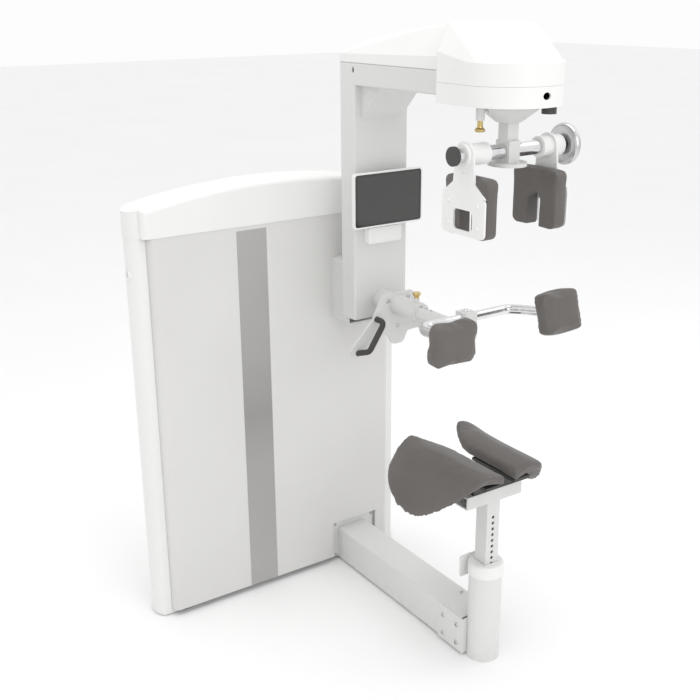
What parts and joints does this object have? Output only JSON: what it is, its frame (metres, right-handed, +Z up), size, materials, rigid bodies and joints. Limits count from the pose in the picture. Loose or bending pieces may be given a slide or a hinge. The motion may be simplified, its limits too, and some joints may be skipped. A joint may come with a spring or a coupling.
{
  "type": "neck training machine",
  "caption": "Seated neck training machine: weight tower, beam with saddle seat, column and arm with a turning head clamp, chest pads, grab handles and a screen.",
  "frame": {"origin": "on the floor, at the axis of the seat pedestal", "axes": "+Z up; +X from the tower towards the seat, the way the head drum and chest pads stand out; +Y along the tower, square to the base beam"},
  "size_m": [1.058, 1.059, 1.944],
  "materials": {
    "frame_paint": "smooth pale grey powder coat",
    "panel_paint": "smooth warm light grey powder coat",
    "cover_plastic": "satin off-white moulded cover",
    "stripe_film": "fine brushed grey film",
    "pad_skin": "warm dark grey upholstery, satin",
    "grip_rubber": "dark grey grip, matt",
    "dark_plastic": "dark grey moulded plastic",
    "screen_glass": "black display glass",
    "chrome": "polished",
    "bolt_steel": "plated fasteners",
    "brass": "yellow plated knob",
    "iron": "painted weight plates",
    "belt_rubber": "black flat belt"
  },
  "bodies": {
    "stand": {"tower_base": "frame_paint", "levelling_feet": "dark_plastic", "uprights": "frame_paint", "tower_top_beam": "frame_paint", "front_panel": "panel_paint", "rear_panel": "panel_paint", "end_covers": "cover_plastic", "top_lid": "cover_plastic", "accent_stripe": "stripe_film", "end_plug": "cover_plastic", "guide_rods": "chrome", "weight_plates": "iron", "drive_belt": "belt_rubber", "column_mount": "frame_paint", "main_column": "frame_paint", "overhead_arm": "frame_paint", "arm_cover": "cover_plastic", "drum_floor": "frame_paint", "drum_ring": "cover_plastic", "drum_cover": "cover_plastic", "drum_fittings": "bolt_steel", "screen_bracket": "frame_paint", "reader_box": "cover_plastic", "chest_mount": "frame_paint", "handle_plate": "frame_paint", "plate_bolts": "bolt_steel", "grip_left": "grip_rubber", "grip_right": "grip_rubber", "beam": "frame_paint", "beam_bolts": "bolt_steel", "pedestal_tube": "frame_paint", "pedestal_head": "cover_plastic"},
    "carriage": {"weight_carriage": "iron"},
    "idler": {"tower_pulley": "dark_plastic"},
    "cam": {"cam_pulley": "dark_plastic"},
    "head": {"turning_hub": "frame_paint", "hanger_post": "frame_paint", "cross_tube": "chrome", "tube_caps": "dark_plastic"},
    "index_pin": {"plunger_knob": "brass"},
    "handwheel": {"wheel_and_screw": "dark_plastic"},
    "left_clamp": {"clamp_arm_left": "frame_paint", "head_pad_left": "pad_skin"},
    "right_clamp": {"clamp_arm_right": "frame_paint", "head_pad_right": "pad_skin"},
    "screen": {"screen_case": "cover_plastic", "screen_glass": "screen_glass"},
    "chest_bar": {"chest_slide": "frame_paint", "chest_crossbar": "chrome"},
    "chest_lock": {"chest_knob": "brass"},
    "left_chest_pad": {"yoke_left": "frame_paint", "chest_pad_left": "pad_skin"},
    "right_chest_pad": {"yoke_right": "frame_paint", "chest_pad_right": "pad_skin"},
    "seat": {"seat_column": "frame_paint", "seat_pan": "dark_plastic", "seat_left": "pad_skin", "seat_right": "pad_skin"},
    "seat_lock": {"lock_pin": "brass"}
  },
  "joints": [
    {"name": "head_turn", "type": "hinge", "parent": "stand", "child": "head", "pos_m": [0.02, 0, 1.7], "axis": [0, 0, 1], "range_deg": [0, 70]},
    {"name": "cam_turn", "type": "hinge", "parent": "stand", "child": "cam", "pos_m": [0.02, 0, 1.8], "axis": [0, 0, 1], "range_deg": [0, 70]},
    {"name": "stack_lift", "type": "slide", "parent": "stand", "child": "carriage", "axis": [0, 0, 1], "range_m": [0, 0.09774]},
    {"name": "idler_turn", "type": "hinge", "parent": "stand", "child": "idler", "pos_m": [-0.821, -0.2369, 1.211], "axis": [1, 0, 0], "range_deg": [-130, 130]},
    {"name": "index_pull", "type": "slide", "parent": "head", "child": "index_pin", "axis": [0, 0, 1], "range_m": [-0.012, 0], "stiffness_N_per_m": 400, "springref_m": 0.004},
    {"name": "clamp_wheel", "type": "hinge", "parent": "head", "child": "handwheel", "pos_m": [0.02, 0.205, 1.613], "axis": [0, 1, 0], "range_deg": [-576, 1800]},
    {"name": "left_clamp_slide", "type": "slide", "parent": "head", "child": "left_clamp", "axis": [0, 1, 0], "range_m": [-0.0081, 0.0251]},
    {"name": "right_clamp_slide", "type": "slide", "parent": "head", "child": "right_clamp", "axis": [0, -1, 0], "range_m": [-0.0081, 0.0251]},
    {"name": "screen_tilt", "type": "hinge", "parent": "stand", "child": "screen", "pos_m": [-0.551, 0, 1.399], "axis": [0, 1, 0], "range_deg": [-12, 12]},
    {"name": "chest_reach", "type": "slide", "parent": "stand", "child": "chest_bar", "axis": [1, 0, 0], "range_m": [-0.05, 0.075]},
    {"name": "chest_lock_pull", "type": "slide", "parent": "stand", "child": "chest_lock", "axis": [0, 0, 1], "range_m": [0, 0.01], "stiffness_N_per_m": 400, "springref_m": -0.004},
    {"name": "left_chest_pad_turn", "type": "hinge", "parent": "chest_bar", "child": "left_chest_pad", "pos_m": [-0.002, -0.2, 1.114], "axis": [0, 1, 0], "range_deg": [-20, 20]},
    {"name": "right_chest_pad_turn", "type": "hinge", "parent": "chest_bar", "child": "right_chest_pad", "pos_m": [-0.002, 0.2, 1.114], "axis": [0, 1, 0], "range_deg": [-20, 20]},
    {"name": "seat_height", "type": "slide", "parent": "stand", "child": "seat", "axis": [0, 0, 1], "range_m": [-0.14, 0.06]},
    {"name": "seat_lock_pull", "type": "slide", "parent": "stand", "child": "seat_lock", "axis": [-1, 0, 0], "range_m": [0, 0.01], "stiffness_N_per_m": 400, "springref_m": -0.004}
  ],
  "couplings": [
    {"joint": "cam_turn", "follows": "head_turn", "ratio": 1},
    {"joint": "stack_lift", "follows": "head_turn", "m_per_rad": 0.08},
    {"joint": "idler_turn", "follows": "head_turn", "ratio": -1.7778},
    {"joint": "left_clamp_slide", "follows": "clamp_wheel", "m_per_rad": 0.00079577},
    {"joint": "right_clamp_slide", "follows": "clamp_wheel", "m_per_rad": 0.00079577}
  ]
}
